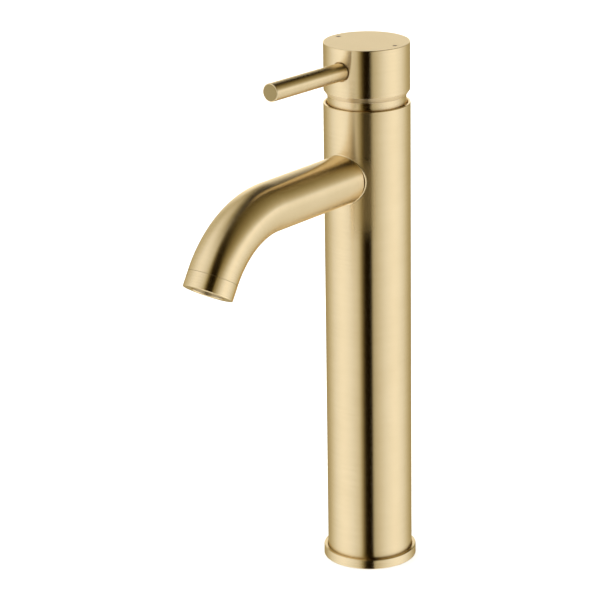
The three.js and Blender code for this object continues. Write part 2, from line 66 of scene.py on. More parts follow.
COLUMN_LOW, COLUMN_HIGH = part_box("body_column")
COLUMN_R = COLUMN_HIGH.x
COLUMN_TOP = COLUMN_HIGH.z
RING_LOW, RING_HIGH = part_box("base_ring")
_, CAP_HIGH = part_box("handle_cap")
CAP_R = CAP_HIGH.x
CAP_TOP = CAP_HIGH.z
_, LEVER_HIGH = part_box("lever_rod")
LEVER_R = LEVER_HIGH.x
_, SPOUT_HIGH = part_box("spout_tube")
SPOUT_R = SPOUT_HIGH.x
SPOUT_HEIGHT = SPOUT_HIGH.z - SPOUT_R
MARK_X = sum(corner.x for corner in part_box("cold_mark")) / 2
GRUB_LOW, GRUB_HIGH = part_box("grub_screw")
GRUB_R = (GRUB_HIGH.z - GRUB_LOW.z) / 2
GRUB_HEIGHT = (GRUB_HIGH.z + GRUB_LOW.z) / 2

# ---- Sizes shared with the CAD that its boxes don't give --------------------------------------

GAP = 0.3 * MM
SEAM = 0.08 * MM  # what shows of a gap between two screwed parts
COLUMN_WALL = 2.5 * MM
SPOUT_WALL = 2.25 * MM
SPOUT_STRAIGHT = 86.8 * MM
SPOUT_BEND_R = 55.5 * MM
SPOUT_BEND = math.radians(59)
SPOUT_END = 8.8 * MM
AERATOR_SLEEVE = 8.5 * MM
NECK_R = 21.7 * MM
NECK_TOP = 272 * MM
CHAMFER_TOP = 275 * MM
NECK_INNER_R = 20.4 * MM
HANDLE_CEILING = 279 * MM
LEVER_HEIGHT = 288.5 * MM
LEVER_RISE = math.radians(1.2)
LEVER_SEAT = 21.5 * MM
LEVER_HOLE_R = 5.6 * MM
LEVER_THREAD_R = 3 * MM
LEVER_THREAD_END = 9.5 * MM
LEVER_TIP = 84.2 * MM
LEVER_DIRECTION = Vector((0, -math.cos(LEVER_RISE), math.sin(LEVER_RISE)))
LEVER_ORIGIN = Vector((0, 0, LEVER_HEIGHT))
MARK_R = 0.95 * MM
MARK_DEPTH = 0.6 * MM
GRUB_HEX_R = 1.15 * MM
GRUB_HEX_DEPTH = 2 * MM


# ---- Mesh tools -------------------------------------------------------------------------------

def new_object(name, data):
    made = bpy.data.objects.new(name, data)
    bpy.context.scene.collection.objects.link(made)
    return made


def mesh_object(name, mesh):
    """A bmesh as an object. The bmesh is freed."""
    data = bpy.data.meshes.new(name)
    mesh.to_mesh(data)
    mesh.free()
    return new_object(name, data)


def curve_past(corner, start, end, steps):
    """Points from start to end on a curve that the corner pulls towards itself."""
    points = []
    for step in range(steps + 1):
        t = step / steps
        points.append(start * (1 - t) ** 2 + corner * (2 * t * (1 - t)) + end * t ** 2)
    return points


def softened(outline):
    """The outline's points, with each (r, z, radius) corner turned into a small fillet."""
    longest_trim = 0.45  # of an edge, so that the fillets at its two ends stay apart
    points = []
    count = len(outline)
    for i, (r, z, radius) in enumerate(outline):
        corner = Vector((r, z))
        if radius == 0:
            points.append(corner)
            continue
        before = Vector(outline[i - 1][:2]) - corner
        after = Vector(outline[(i + 1) % count][:2]) - corner
        shorter = min(before.length, after.length)
        trim = min(radius / math.tan(before.angle(after) / 2), longest_trim * shorter)
        start = corner + before.normalized() * trim
        end = corner + after.normalized() * trim
        points += curve_past(corner, start, end, FILLET_STEPS)
    return points


def brushable_mesh():
    """An empty bmesh with the two layers that brush_face fills."""
    mesh = bmesh.new()
    mesh.loops.layers.uv.new("brush")
    mesh.loops.layers.float_vector.new("brush_place")
    return mesh


def turned(name, outline, sides=FINE_SIDES, flat_top=False):
    """A solid of revolution about +Z from a closed outline of (radius, height, fillet) corners.

    Brushing lines run round it, so each has one U (see brush_face). With flat_top the highest
    flat face is brushed in straight lines instead.
    """
    points = softened(outline)
    mesh = brushable_mesh()
    rings = []
    for point in points:
        if point.x == 0:
            rings.append([mesh.verts.new((0, 0, point.y))] * sides)
            continue
        ring = []
        for side in range(sides):
            turn = seam_at_back(side, sides)
            ring.append(mesh.verts.new((point.x * math.cos(turn), point.x * math.sin(turn), point.y)))
        rings.append(ring)
    skin(mesh, rings, path_lengths(points), max(point.x for point in points))
    if flat_top:
        top = max(point.y for point in points)
        for face in mesh.faces:
            if all(abs(vert.co.z - top) < TINY for vert in face.verts):
                brush_face(mesh, face, [(vert.co.x, vert.co.y) for vert in face.verts],
                           [(vert.co.x, vert.co.y, 0) for vert in face.verts])
    return finished(name, mesh)


def seam_at_back(side, sides):
    """The turn of one side, counted from the back, where the brushing's seam is least seen."""
    return math.pi / 2 + 2 * math.pi * side / sides


def path_lengths(points):
    """Distance along a closed outline to each of its points, and back to the first."""
    lengths = [0.0]
    for first, second in zip(points, points[1:] + points[:1]):
        lengths.append(lengths[-1] + (second - first).length)
    return lengths


def brush_face(mesh, face, flat, places):
    """Sets how a face is brushed: along V of the "brush" UVs, in metres, which gives the gloss its
    direction, and at seamless places whose X crosses the lines, which gives the lines themselves."""
    uv = mesh.loops.layers.uv["brush"]
    place_layer = mesh.loops.layers.float_vector["brush_place"]
    for loop, spot, place in zip(face.loops, flat, places):
        loop[uv].uv = spot
        loop[place_layer] = place


def skin(mesh, rings, lengths, radius):
    """Faces between neighbouring rings, brushed round them. A ring on the axis repeats one vertex."""
    sides = len(rings[0])
    for i in range(len(rings)):
        j = (i + 1) % len(rings)
        if rings[i][0] is rings[i][1] and rings[j][0] is rings[j][1]:
            continue
        for side in range(sides):
            after = (side + 1) % sides
            corners = [
                (rings[i][side], lengths[i], side),
                (rings[i][after], lengths[i], side + 1),
                (rings[j][after], lengths[i + 1], side + 1),
                (rings[j][side], lengths[i + 1], side),
            ]
            if rings[i][side] is rings[i][after]:
                del corners[1]
            elif rings[j][side] is rings[j][after]:
                del corners[2]
            face = mesh.faces.new([corner[0] for corner in corners])
            flat = []
            places = []
            for _, along, step in corners:
                turn = 2 * math.pi * step / sides
                flat.append((along, radius * turn))
                places.append((along, radius * math.cos(turn), radius * math.sin(turn)))
            brush_face(mesh, face, flat, places)


def mark_faces(piece, name, wanted):
    """A face attribute for the materials: 1 on the faces that are wanted, 0 on the rest."""
    values = piece.data.attributes.new(name, "FLOAT", "FACE").data
    for face in piece.data.polygons:
        values[face.index].value = float(wanted(face))


def finished(name, mesh):
    """A bmesh as an object, with all its faces turned outwards."""
    bmesh.ops.recalc_face_normals(mesh, faces=mesh.faces)
    return mesh_object(name, mesh)


def smooth(piece):
    faces = piece.data.polygons
    faces.foreach_set("use_smooth", [True] * len(faces))


def shaded(piece):
    """Smooth shading, sharp at real corners, in which big faces keep their direction beside fillets."""
    smooth(piece)
    piece.data.set_sharp_from_angle(angle=SHARP_ANGLE)
    weighting = piece.modifiers.new("weighted_normals", "WEIGHTED_NORMAL")
    weighting.keep_sharp = True
    return piece


def aimed(piece, origin, direction):
    """Turns the mesh's +Z to a direction and moves its origin to a point."""
    turn = UP.rotation_difference(direction).to_matrix().to_4x4()
    piece.data.transform(Matrix.Translation(origin) @ turn)
    return piece


def apply_modifiers(piece):
    depsgraph = bpy.context.evaluated_depsgraph_get()
    data = bpy.data.meshes.new_from_object(piece.evaluated_get(depsgraph))
    piece.modifiers.clear()
    piece.data = data


def carved(piece, *tools):
    """Cuts the tools' shapes out of the piece and removes the tools."""
    for tool in tools:
        change = piece.modifiers.new("cut", "BOOLEAN")
        change.operation = "DIFFERENCE"
        change.solver = "EXACT"
        change.object = tool
    apply_modifiers(piece)
    for tool in tools:
        bpy.data.objects.remove(tool)
    return piece


def disc_outline(radius, bottom, top, fillet=0.0):
    return [(0, bottom, 0), (radius, bottom, fillet), (radius, top, fillet), (0, top, 0)]


def cutter(radius, origin, direction, length, sides=PLAIN_SIDES):
    """A round bar for carved, from its origin along a direction."""
    return aimed(turned("cutter", disc_outline(radius, 0, length), sides), origin, direction)


# ---- Materials --------------------------------------------------------------------------------

DULL_BRASS = (0.34, 0.26, 0.12)  # a turned end face, left unbrushed
PAINTED_LIGHT_BRASS = (0.97, 0.79, 0.50)  # painted light: brighter brass on the neck's chamfer, whose reflection of the column's rim darkens it
PAINTED_REFLECTION_BRASS = (0.84, 0.62, 0.28)  # painted reflection: orange-brown brass that stands for a warm reflection beside the spout
GRAZING_TINT = (1.0, 0.93, 0.78, 1.0)  # of the brass where it is seen at a low angle
GRAIN_DEPTH = 0.02 * MM


class Nodes:
    """Short names for the node calls that the materials and the world share."""

    def __init__(self, owner):
        self.owner = owner
        self.owner.use_nodes = True
        self.tree = self.owner.node_tree
        self.tree.nodes.clear()

    def add(self, kind, **settings):
        node = self.tree.nodes.new(kind)
        for key, value in settings.items():
            setattr(node, key, value)
        return node

    def link(self, output, target):
        self.tree.links.new(output, target)

    def math(self, operation, first, second=0.0):
        node = self.add("ShaderNodeMath", operation=operation)
        for socket, value in zip(node.inputs, (first, second)):
            if isinstance(value, (int, float)):
                socket.default_value = value
            else:
                self.link(value, socket)
        return node.outputs[0]

    def plus(self, first, second):
        return self.math("ADD", first, second)

    def minus(self, first, second):
        return self.math("SUBTRACT", first, second)

    def times(self, first, second):
        return self.math("MULTIPLY", first, second)

    def magnitude(self, value):
        return self.math("ABSOLUTE", value)

    def at_least(self, value, least):
        return self.math("MAXIMUM", value, least)

    def blend(self, first, share, second):
        """A share of the first number and the rest of the second."""
        return self.plus(self.times(first, share), self.times(second, 1 - share))

    def remap(self, value, low, high, to_low=0.0, to_high=1.0, shape="LINEAR"):
        """Goes from to_low to to_high as the value goes from low to high, and stays level outside."""
        node = self.add("ShaderNodeMapRange", interpolation_type=shape)
        self.link(value, node.inputs["Value"])
        for name, number in zip(("From Min", "From Max", "To Min", "To Max"), (low, high, to_low, to_high)):
            node.inputs[name].default_value = number
        return node.outputs["Result"]

    def fade(self, value, low, high, to_low=0.0, to_high=1.0):
        """Like remap, with soft ends."""
        return self.remap(value, low, high, to_low, to_high, "SMOOTHSTEP")

    def noise(self, coordinates, scale, detail=2.0, rough=0.5, stretch=(1, 1, 1)):
        mapping = self.add("ShaderNodeMapping")
        mapping.inputs["Scale"].default_value = stretch
        self.link(coordinates, mapping.inputs["Vector"])
        node = self.add("ShaderNodeTexNoise")
        node.inputs["Scale"].default_value = scale
        node.inputs["Detail"].default_value = detail
        node.inputs["Roughness"].default_value = rough
        self.link(mapping.outputs[0], node.inputs["Vector"])
        return node.outputs[0]

    def mix(self, factor, first, second):
        """The first colour at factor 0 and the second at 1."""
        node = self.add("ShaderNodeMix", data_type="RGBA")
        self.link(factor, node.inputs["Factor"])
        for name, colour in (("A", first), ("B", second)):
            socket = [s for s in node.inputs if s.name == name and s.type == "RGBA"][0]
            if isinstance(colour, tuple):
                socket.default_value = (*colour, 1)
            else:
                self.link(colour, socket)
        return [s for s in node.outputs if s.type == "RGBA"][0]

    def place(self):
        """Where a point of the piece is, in the piece's own metres."""
        return self.add("ShaderNodeTexCoord").outputs["Object"]

    def split(self, vector):
        node = self.add("ShaderNodeSeparateXYZ")
        self.link(vector, node.inputs[0])
        return node.outputs

    def marked(self, name):
        """1 on the faces that mark_faces gave this name, 0 elsewhere."""
        return self.add("ShaderNodeAttribute", attribute_name=name).outputs["Fac"]

    def bump(self, height, strength):
        node = self.add("ShaderNodeBump")
        node.inputs["Strength"].default_value = strength
        node.inputs["Distance"].default_value = GRAIN_DEPTH
        self.link(height, node.inputs["Height"])
        return node.outputs[0]

    def principled(self, **values):
        node = self.add("ShaderNodeBsdfPrincipled")
        for key, value in values.items():
            node.inputs[key.replace("_", " ").title()].default_value = value
        return node

    def surface(self, shader):
        output = self.add("ShaderNodeOutputMaterial")
        self.link(shader.outputs[0], output.inputs["Surface"])


def brushing_lines(nodes):
    """Noise drawn out along the brushing: fine lines over broader ones."""
    places = nodes.add("ShaderNodeAttribute", attribute_name="brush_place").outputs["Vector"]
    fine_width = 0.16 * MM
    broad_width = 4 * fine_width
    fine = nodes.noise(places, 1 / fine_width, 2.0, 0.6, stretch=(1, 0.012, 0.012))
    broad = nodes.noise(places, 1 / broad_width, 3.0, 0.55, stretch=(1, 0.02, 0.02))
    return nodes.blend(fine, 0.55, broad)


def brushed_metal(name, light, dark, roughness):
    """Metal brushed as brush_face says: fine lines in bump, roughness and colour, with painted light on the
    neck's chamfer and a painted warm reflection beside the spout.
    """
    nodes = Nodes(bpy.data.materials.new(name))
    shader = nodes.principled(metallic=1.0, anisotropic=1.0, specular_tint=GRAZING_TINT)
    tangent = nodes.add("ShaderNodeTangent", direction_type="UV_MAP", uv_map="brush")
    nodes.link(tangent.outputs[0], shader.inputs["Tangent"])
    lines = brushing_lines(nodes)
    coarse_and_painted_light = nodes.marked("coarse_and_painted_light")

    cloud = nodes.noise(nodes.place(), 60.0)
    tone = nodes.blend(lines, 0.7, cloud)
    colour = nodes.mix(nodes.remap(tone, 0.38, 0.62), dark, light)
    # Painted light: the chamfer's faces take a brighter brass.
    colour = nodes.mix(coarse_and_painted_light, colour, PAINTED_LIGHT_BRASS)
    colour = nodes.mix(nodes.marked("dull"), colour, DULL_BRASS)
    nodes.link(colour, shader.inputs["Base Color"])

    coarser = nodes.times(coarse_and_painted_light, 0.28)
    line_roughness = nodes.remap(lines, 0.3, 0.7, roughness - 0.02, roughness + 0.02)
    nodes.link(nodes.plus(line_roughness, coarser), shader.inputs["Roughness"])
    nodes.link(nodes.bump(lines, 0.35), shader.inputs["Normal"])

    # A rougher brass whose orange-brown colour is a painted reflection, mixed in beside the spout.
    rougher_painted_reflection = nodes.principled(metallic=1.0, roughness=0.5, base_color=(*PAINTED_REFLECTION_BRASS, 1))
    blend = nodes.add("ShaderNodeMixShader")
    nodes.link(rougher_with_painted_reflection(nodes), blend.inputs["Fac"])
    nodes.link(shader.outputs[0], blend.inputs[1])
    nodes.link(rougher_painted_reflection.outputs[0], blend.inputs[2])
    nodes.surface(blend)
    return nodes.owner


def rougher_with_painted_reflection(nodes):
    """How much of a rougher brass with a painted warm reflection shows, 0 to 1: on the column, beside the
    spout and above it.
    """
    across, _, height = nodes.split(nodes.place())
    middle = SPOUT_HEIGHT - 8 * MM
    from_middle = nodes.magnitude(nodes.minus(height, middle))
    beside_it = nodes.fade(from_middle, 11 * MM, 30 * MM, 0.5, 0)
    above_it = nodes.fade(height, middle, SPOUT_HEIGHT + 8 * MM, 0, 0.22)
    left_edge = nodes.fade(across, 4 * MM, 9 * MM)
    right_edge = nodes.fade(across, 15 * MM, 19 * MM, 1, 0)
    stripe = nodes.times(left_edge, right_edge)
    rougher_painted_reflection = nodes.times(nodes.at_least(beside_it, above_it), stripe)
    return nodes.times(rougher_painted_reflection, nodes.marked("rougher_painted_reflection"))


def moulded(name, light, dark, roughness, grain_scale=900.0, metallic=0.0):
    """Plastic, rubber, ceramic or plain machined metal with a fine grain."""
    nodes = Nodes(bpy.data.materials.new(name))
    shader = nodes.principled(metallic=metallic)
    place = nodes.place()
    grain = nodes.noise(place, grain_scale, 4.0, 0.6)
    cloud = nodes.noise(place, grain_scale / 12)
    nodes.link(nodes.mix(nodes.remap(cloud, 0.35, 0.65), dark, light), shader.inputs["Base Color"])
    grain_roughness = nodes.remap(grain, 0.3, 0.7, roughness - 0.06, roughness + 0.08)
    nodes.link(grain_roughness, shader.inputs["Roughness"])
    nodes.link(nodes.bump(grain, 0.3), shader.inputs["Normal"])
    nodes.surface(shader)
    return nodes.owner


FINISHES = {
    "brushed_brass": brushed_metal("brushed_brass", (0.80, 0.655, 0.413), (0.75, 0.605, 0.368), 0.22),
    "raw_brass": moulded("raw_brass", (0.66, 0.50, 0.26), (0.56, 0.41, 0.20), 0.38, 700.0, metallic=1.0),
    "steel": moulded("steel", (0.62, 0.62, 0.61), (0.52, 0.52, 0.52), 0.3, metallic=1.0),
    "rubber": moulded("rubber", (0.030, 0.030, 0.031), (0.018, 0.018, 0.019), 0.7, 1400.0),
    "white_plastic": moulded("white_plastic", (0.82, 0.81, 0.77), (0.76, 0.75, 0.70), 0.45),
    "grey_plastic": moulded("grey_plastic", (0.33, 0.34, 0.35), (0.27, 0.28, 0.29), 0.45),
    "ceramic": moulded("ceramic", (0.88, 0.86, 0.82), (0.83, 0.81, 0.77), 0.2, 1500.0),
    "dark_enamel": moulded("dark_enamel", (0.10, 0.06, 0.025), (0.06, 0.035, 0.015), 0.4, 1500.0),
}


def dressed(piece, slot, body, *nodes):
    """Gives a piece its finish, its body and the CAD nodes that it stands for."""
    piece.data.materials.clear()
    piece.data.materials.append(FINISHES[slot])
    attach(piece, body)
    if nodes:
        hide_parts(*nodes)
    return piece


# ---- Body pieces ------------------------------------------------------------------------------

def column():
    """The round tube, with a chamfered mouth for the handle's neck and a hole for the spout."""
    mouth_r = 22.3 * MM
    bore_r = COLUMN_R - COLUMN_WALL
    outline = [
        (bore_r, COLUMN_LOW.z, 0.2 * MM),
        (COLUMN_R, COLUMN_LOW.z, 0.2 * MM),
        (COLUMN_R, COLUMN_TOP, 0.35 * MM),
        (mouth_r + 0.5 * MM, COLUMN_TOP, 0.15 * MM),
        (mouth_r, COLUMN_TOP - 0.9 * MM, 0.15 * MM),
        (mouth_r, COLUMN_TOP - 2.6 * MM, 0),
        (bore_r, COLUMN_TOP - 3.6 * MM, 0),
    ]
    piece = turned("column", outline)
    hole = cutter(SPOUT_R - 0.6 * MM, Vector((0, 0, SPOUT_HEIGHT)), TOWARDS_USER, 2 * COLUMN_R)
    carved(piece, hole)
    # Every face of the column may take the rougher brass with the painted reflection beside the spout.
    mark_faces(piece, "rougher_painted_reflection", lambda face: True)
    return dressed(shaded(piece), "brushed_brass", "body", "body_column")


def base_ring():
    """The flange round the column's foot, and the thin web that goes in under the column."""
    seat_r = COLUMN_R + GAP
    web_r = 17 * MM
    web_top = 2.4 * MM
    outline = [
        (web_r, RING_LOW.z, 0.2 * MM),
        (RING_HIGH.x, RING_LOW.z, 0.3 * MM),
        (RING_HIGH.x, RING_HIGH.z, 0.6 * MM),
        (seat_r, RING_HIGH.z, 0.25 * MM),
        (seat_r, web_top, 0),
        (web_r, web_top, 0.2 * MM),
    ]
    return dressed(shaded(turned("flange", outline)), "brushed_brass", "body", "base_ring")


def spout_frame(along):
    """Point and direction of the spout's centre line at a distance from the column's axis."""
    arc = SPOUT_BEND_R * SPOUT_BEND
    bent = min(max((along - SPOUT_STRAIGHT) / SPOUT_BEND_R, 0), SPOUT_BEND)
    past = max(0, along - SPOUT_STRAIGHT - arc)
    level = min(along, SPOUT_STRAIGHT) + SPOUT_BEND_R * math.sin(bent) + past * math.cos(bent)
    drop = SPOUT_BEND_R * (1 - math.cos(bent)) + past * math.sin(bent)
    point = Vector((0, -level, SPOUT_HEIGHT - drop))
    return point, Vector((0, -math.cos(bent), -math.sin(bent)))


SPOUT_LENGTH = SPOUT_STRAIGHT + SPOUT_BEND_R * SPOUT_BEND + SPOUT_END
SPOUT_TIP, OUTLET_DIRECTION = spout_frame(SPOUT_LENGTH)


def spout():
    """The tube, swept ring by ring: out along the skin, round the lip and back along the bore."""
    root = COLUMN_R - COLUMN_WALL
    lip = SPOUT_LENGTH - AERATOR_SLEEVE - GAP
    edge = 0.12 * MM
    bend_steps = 48
    before_bend = 0.7 * SPOUT_STRAIGHT
    stations = [(root, SPOUT_R), (COLUMN_R, SPOUT_R), (before_bend, SPOUT_R)]
    for step in range(bend_steps + 1):
        stations.append((SPOUT_STRAIGHT + SPOUT_BEND_R * SPOUT_BEND * step / bend_steps, SPOUT_R))
    stations = [station for station in stations if station[0] < lip - edge]
    stations += [(lip - edge, SPOUT_R), (lip - 0.3 * edge, SPOUT_R - 0.3 * edge), (lip, SPOUT_R - edge)]
    bore = SPOUT_R - SPOUT_WALL
    inner = [(along, bore) for along, _ in reversed(stations[:-2])]
    stations += [(lip, bore)] + inner
    mesh = brushable_mesh()
    rings = []
    for along, radius in stations:
        centre, direction = spout_frame(along)
        across = Vector((1, 0, 0))
        downward = direction.cross(across)
        ring = []
        for side in range(PLAIN_SIDES):
            turn = seam_at_back(side, PLAIN_SIDES)
            offset = (across * math.cos(turn) + downward * math.sin(turn)) * radius
            ring.append(mesh.verts.new(centre + offset))
        rings.append(ring)
    skin(mesh, rings, path_lengths([Vector(station) for station in stations]), SPOUT_R)
    return dressed(shaded(finished("spout", mesh)), "brushed_brass", "body", "spout_tube")


def on_column(reach, radius):
    """The point of the column's front that lies a radius away from the spout's axis, towards reach."""
    x = radius * reach.x
    y = -math.sqrt(COLUMN_R ** 2 - x * x)
    return Vector((x, y, SPOUT_HEIGHT + radius * reach.z))


def spout_fillet():
    """The small fillet where the spout is brazed into the column."""
    size = 0.55 * MM
    depth = 0.4 * MM
    steps = 6
    mesh = brushable_mesh()
    rings = [[] for _ in range(steps + 2)]
    for side in range(PLAIN_SIDES):
        turn = seam_at_back(side, PLAIN_SIDES)
        reach = Vector((math.cos(turn), 0, -math.sin(turn)))
        corner = on_column(reach, SPOUT_R)
        start = on_column(reach, SPOUT_R + size)
        end = corner + TOWARDS_USER * size
        sunk = corner - reach * depth - TOWARDS_USER * depth
        for ring, place in zip(rings, curve_past(corner, start, end, steps) + [sunk]):
            ring.append(mesh.verts.new(place))
    skin(mesh, rings, path_lengths([ring[0].co.copy() for ring in rings]), SPOUT_R)
    return dressed(shaded(finished("spout_fillet", mesh)), "brushed_brass", "body")


# ---- Aerator: turned about +Z, which runs upstream from the tip ---------------------------------

AERATOR_LIP_R = 9 * MM
AERATOR_BORE_R = 9.9 * MM
AERATOR_LIP = 2.2 * MM


def aerator_housing():
    """The sleeve at the spout's end and its spigot, which screws into the tube."""
    spigot_r = SPOUT_R - SPOUT_WALL - 2 * GAP
    sleeve_top = AERATOR_SLEEVE + GAP - SEAM
    top = AERATOR_SLEEVE + 6 * MM
    outline = [
        (AERATOR_LIP_R, 0, 0.5 * MM),
        (SPOUT_R, 0, 0.4 * MM),
        (SPOUT_R, sleeve_top, 0.12 * MM),
        (spigot_r, sleeve_top, 0),
        (spigot_r, top, 0.3 * MM),
        (AERATOR_BORE_R, top, 0.2 * MM),
        (AERATOR_BORE_R, AERATOR_LIP, 0),
        (AERATOR_LIP_R, AERATOR_LIP, 0.2 * MM),
    ]
    piece = aimed(turned("aerator_sleeve", outline, PLAIN_SIDES), SPOUT_TIP, -OUTLET_DIRECTION)
    return dressed(shaded(piece), "brushed_brass", "body", "aerator_housing")


def aerator_insert():
    """Flow straightener: a moulded puck with a honeycomb of through holes."""
    top = 9.5 * MM
    bottom = 1.8 * MM
    outline = [
        (0, bottom, 0),
        (AERATOR_LIP_R - GAP, bottom, 0.3 * MM),
        (AERATOR_LIP_R - GAP, AERATOR_LIP + GAP, 0),
        (AERATOR_BORE_R - GAP, AERATOR_LIP + GAP, 0.2 * MM),
        (AERATOR_BORE_R - GAP, top, 0.2 * MM),
        (0, top, 0),
    ]
    pitch = 1.75 * MM
    hole_r = 0.86 * MM
    outermost = 7.3 * MM
    reach = 4
    holes = bmesh.new()
    for column_index in range(-reach, reach + 1):
        for row in range(-reach, reach + 1):
            x = pitch * (column_index + row / 2)
            y = pitch * row * math.sqrt(3) / 2
            if math.hypot(x, y) > outermost:
                continue
            place = Matrix.Translation((x, y, (top + bottom) / 2)) @ Matrix.Rotation(math.pi / 6, 4, "Z")
            bmesh.ops.create_cone(
                holes, cap_ends=True, segments=6, radius1=hole_r, radius2=hole_r, depth=2 * top, matrix=place
            )
    piece = carved(turned("flow_straightener", outline, PLAIN_SIDES), finished("holes", holes))
    aimed(piece, SPOUT_TIP, -OUTLET_DIRECTION)
    return dressed(shaded(piece), "grey_plastic", "body", "aerator_insert")


# ---- Handle -----------------------------------------------------------------------------------

def stem_socket():
    """A cutter for the square hole in the handle's ceiling, which the stem stands in."""
    _, stem_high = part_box("stem")
    width = 2 * (stem_high.x + GAP)
    height = stem_high.z + GAP - HANDLE_CEILING + MM
    centre = Vector((0, 0, HANDLE_CEILING - MM + height / 2))
    mesh = bmesh.new()
    place = Matrix.Translation(centre) @ Matrix.Diagonal((width, width, height, 1))
    bmesh.ops.create_cube(mesh, size=1, matrix=place)
    return finished("socket", mesh)


def mark_hole(x):
    """A cutter for the shallow hole that a mark sits in."""
    bottom = Vector((x, 0, CAP_TOP - MARK_DEPTH - GAP))
    return cutter(MARK_R + GAP, bottom, UP, 5 * MM, SMALL_SIDES)


def handle():
    """The round cap and its narrower neck, hollow from below, with holes for the lever and screw."""
    neck_bottom = COLUMN_TOP - 0.3 * MM  # a little into the column's mouth, so no light shows under it
    outline = [
        (NECK_INNER_R, neck_bottom, 0.1 * MM),
        (NECK_R, neck_bottom, 0.15 * MM),
        (NECK_R, NECK_TOP, 0.15 * MM),
        (CAP_R, CHAMFER_TOP, 0.3 * MM),
        (CAP_R, CAP_TOP, 0.35 * MM),
        (0, CAP_TOP, 0),
        (0, HANDLE_CEILING, 0),
        (NECK_INNER_R, HANDLE_CEILING, 1.0 * MM),
    ]
    seat = LEVER_ORIGIN + LEVER_DIRECTION * LEVER_SEAT
    thread = LEVER_ORIGIN + LEVER_DIRECTION * (LEVER_THREAD_END - GAP)
    tools = [
        cutter(LEVER_HOLE_R, seat, LEVER_DIRECTION, CAP_R),
        cutter(LEVER_THREAD_R + GAP, thread, LEVER_DIRECTION, CAP_R),
        cutter(GRUB_R + GAP, Vector((0, 0, GRUB_HEIGHT)), -TOWARDS_USER, 2 * CAP_R, SMALL_SIDES),
        mark_hole(MARK_X),
        mark_hole(-MARK_X),
        stem_socket(),
    ]
    piece = carved(turned("handle", outline, flat_top=True), *tools)

    def on_chamfer(face):
        return NECK_TOP < face.center.z < CHAMFER_TOP and face.normal.z < -0.3

    # The chamfer is brushed rougher and painted a brighter brass, as painted light.
    mark_faces(piece, "coarse_and_painted_light", on_chamfer)
    return dressed(shaded(piece), "brushed_brass", "handle", "handle_cap")


def lever():
    """The round pin and the thinner thread that holds it in the cap."""
    seat = LEVER_SEAT + GAP
    outline = [
        (0, LEVER_THREAD_END, 0),
        (LEVER_THREAD_R, LEVER_THREAD_END, 0.4 * MM),
        (LEVER_THREAD_R, seat, 0),
        (LEVER_R, seat, 0.3 * MM),
        (LEVER_R, LEVER_TIP, 0.45 * MM),
        (0, LEVER_TIP, 0),
    ]
    piece = turned("lever", outline, PLAIN_SIDES, flat_top=True)
    mark_faces(piece, "dull", lambda face: face.center.z > LEVER_TIP - TINY)
    aimed(piece, LEVER_ORIGIN, LEVER_DIRECTION)
    return dressed(shaded(piece), "brushed_brass", "handle", "lever_rod")


def grub_screw():
    """The small screw at the handle's back, with a hexagonal socket."""
    outline = disc_outline(GRUB_R, GRUB_LOW.y, GRUB_HIGH.y, 0.3 * MM)
    piece = turned("handle_screw", outline, SMALL_SIDES)
    aimed(piece, Vector((0, 0, GRUB_HEIGHT)), -TOWARDS_USER)
    socket_floor = Vector((0, GRUB_HIGH.y - GRUB_HEX_DEPTH, GRUB_HEIGHT))
    socket = cutter(GRUB_HEX_R, socket_floor, -TOWARDS_USER, 2 * GRUB_HEX_DEPTH, sides=6)
    return dressed(shaded(carved(piece, socket)), "steel", "handle", "grub_screw")


def mark(name, node, x):
    """One of the two generic dots, set a little below the cap's top."""
    outline = disc_outline(MARK_R, CAP_TOP - MARK_DEPTH, CAP_TOP - 0.1 * MM, 0.15 * MM)
    piece = turned(name, outline, SMALL_SIDES)
    piece.data.transform(Matrix.Translation((x, 0, 0)))
    return dressed(shaded(piece), "dark_enamel", "handle", node)


# ---- Inner pieces that keep their CAD shape ------------------------------------------------------

def finish_inner_nodes():
    """Gives every CAD node the finish of its slot; brass that stays as CAD is inside and unbrushed."""
    slots = {entry["node"]: entry["material_slot"] for entry in frame["record"]["subparts"]}
    for name, node in frame["nodes"].items():
        node.data.materials.clear()
        slot = slots[name]
        node.data.materials.append(FINISHES["raw_brass" if slot == "brushed_brass" else slot])


# ---- Studio -----------------------------------------------------------------------------------

CAMERA_AZIMUTH = math.radians(37)
CAMERA_DISTANCE = 1.535
CAMERA_HEIGHT = 0.669
CAMERA_TILT = math.radians(18.574)
CAMERA_YAW = math.radians(-1.43)
CAMERA_ROLL = math.radians(-0.86)
LENS_MM = 173.25


def camera():
    """The photograph's camera, turned round the mixer and then aimed by its tilt, yaw and roll."""
    data = bpy.data.cameras.new("camera")
    data.sensor_width = 36
    data.lens = LENS_MM
    data.clip_start = 0.05
    data.clip_end = 50
    made = new_object("camera", data)
    turn = Matrix.Rotation(CAMERA_AZIMUTH, 3, "Z")
    level = math.cos(CAMERA_TILT)
    forward = Vector((math.sin(CAMERA_YAW) * level, math.cos(CAMERA_YAW) * level, -math.sin(CAMERA_TILT)))
    right = Vector((math.cos(CAMERA_YAW), -math.sin(CAMERA_YAW), 0))
    upward = right.cross(forward)
    rolled_right = right * math.cos(CAMERA_ROLL) + upward * math.sin(CAMERA_ROLL)
    rolled_up = upward * math.cos(CAMERA_ROLL) - right * math.sin(CAMERA_ROLL)
    axes = Matrix((turn @ rolled_right, turn @ rolled_up, turn @ -forward)).transposed()
    place = turn @ Vector((0, -CAMERA_DISTANCE, CAMERA_HEIGHT))
    made.matrix_world = Matrix.Translation(place) @ axes.to_4x4()
    bpy.context.scene.camera = made


